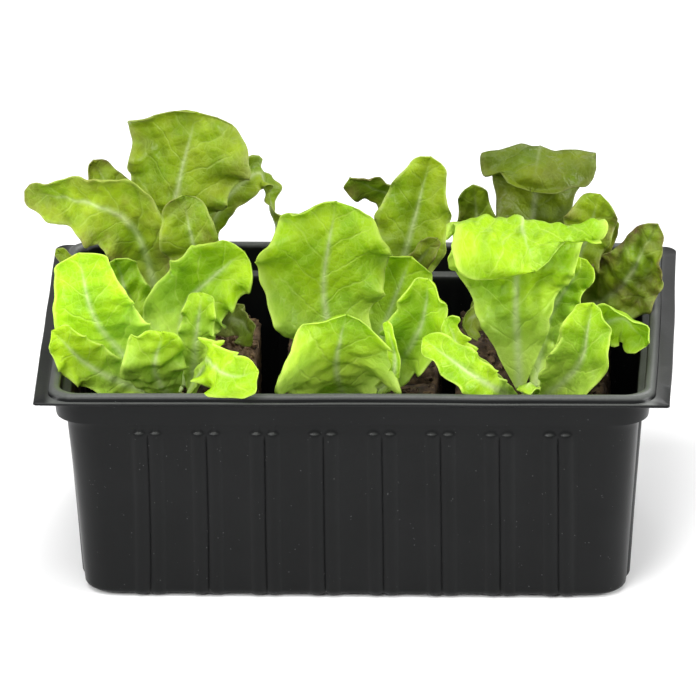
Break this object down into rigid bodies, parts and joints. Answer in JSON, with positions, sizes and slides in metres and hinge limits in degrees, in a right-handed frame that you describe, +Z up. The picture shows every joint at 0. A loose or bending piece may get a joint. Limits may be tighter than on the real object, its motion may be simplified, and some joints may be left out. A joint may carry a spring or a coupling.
{
  "type": "nursery plug tray",
  "caption": "Shallow ribbed black plastic nursery tray with a stacking collar and end wings, holding pressed soil plugs of young loose-leaf lettuce that lift out.",
  "frame": {"origin": "middle of the tray's flat underside, on the surface that it stands on", "axes": "+X along the long side towards the right-hand wing, -Y towards the front, +Z up out of the tray"},
  "size_m": [0.1606, 0.1073, 0.1016],
  "materials": {
    "tray_plastic": "satin moulded black plastic with fine pale dust",
    "pressed_soil": "damp crumbly dark peat",
    "lettuce_crown": "pale smooth stalk",
    "green_leaf": "soft waxy yellow-green leaf with paler ruffled edge",
    "bronze_leaf": "soft waxy green leaf flushed bronze towards the edge"
  },
  "bodies": {
    "tray": {"tray": "tray_plastic"},
    "plug_front_left": {"crown_front_left": "lettuce_crown", "leaf_front_left_drape": "green_leaf", "leaf_front_left_frill": "green_leaf", "leaf_front_left_low": "green_leaf", "leaf_front_left_puckered": "green_leaf", "leaf_front_left_serrated": "green_leaf", "leaf_front_left_spoon": "green_leaf", "leaf_front_left_tall": "green_leaf", "soil_plug_front_left": "pressed_soil"},
    "plug_front_centre": {"crown_front_centre": "lettuce_crown", "leaf_front_centre_broad": "green_leaf", "leaf_front_centre_curl": "green_leaf", "leaf_front_centre_fold": "green_leaf", "leaf_front_centre_spoon": "green_leaf", "leaf_front_centre_upright": "green_leaf", "soil_plug_front_centre": "pressed_soil"},
    "plug_front_right": {"crown_front_right": "lettuce_crown", "leaf_front_right_fan": "green_leaf", "leaf_front_right_lower": "green_leaf", "leaf_front_right_ribbon": "green_leaf", "leaf_front_right_small": "green_leaf", "leaf_front_right_spoon": "green_leaf", "leaf_front_right_strip": "green_leaf", "leaf_front_right_upright": "green_leaf", "soil_plug_front_right": "pressed_soil"},
    "plug_back_left": {"crown_back_left": "lettuce_crown", "leaf_back_left_arched": "bronze_leaf", "leaf_back_left_boat": "bronze_leaf", "leaf_back_left_dark": "bronze_leaf", "leaf_back_left_flared": "bronze_leaf", "leaf_back_left_lobe": "bronze_leaf", "leaf_back_left_olive": "bronze_leaf", "leaf_back_left_withered": "bronze_leaf", "soil_plug_back_left": "pressed_soil"},
    "plug_back_centre": {"crown_back_centre": "lettuce_crown", "leaf_back_centre_cone": "bronze_leaf", "leaf_back_centre_dark": "bronze_leaf", "leaf_back_centre_oval": "bronze_leaf", "soil_plug_back_centre": "pressed_soil"},
    "plug_back_right": {"crown_back_right": "lettuce_crown", "leaf_back_right_bronze": "bronze_leaf", "leaf_back_right_cap": "bronze_leaf", "leaf_back_right_fold": "bronze_leaf", "leaf_back_right_olive": "bronze_leaf", "leaf_back_right_purple": "bronze_leaf", "leaf_back_right_withered": "bronze_leaf", "soil_plug_back_right": "pressed_soil"}
  },
  "joints": [
    {"name": "lift_front_left", "type": "slide", "parent": "tray", "child": "plug_front_left", "axis": [0, 0, 1], "range_m": [0, 0.06]},
    {"name": "lift_front_centre", "type": "slide", "parent": "tray", "child": "plug_front_centre", "axis": [0, 0, 1], "range_m": [0, 0.06]},
    {"name": "lift_front_right", "type": "slide", "parent": "tray", "child": "plug_front_right", "axis": [0, 0, 1], "range_m": [0, 0.06]},
    {"name": "lift_back_left", "type": "slide", "parent": "tray", "child": "plug_back_left", "axis": [0, 0, 1], "range_m": [0, 0.06]},
    {"name": "lift_back_centre", "type": "slide", "parent": "tray", "child": "plug_back_centre", "axis": [0, 0, 1], "range_m": [0, 0.06]},
    {"name": "lift_back_right", "type": "slide", "parent": "tray", "child": "plug_back_right", "axis": [0, 0, 1], "range_m": [0, 0.06]}
  ]
}
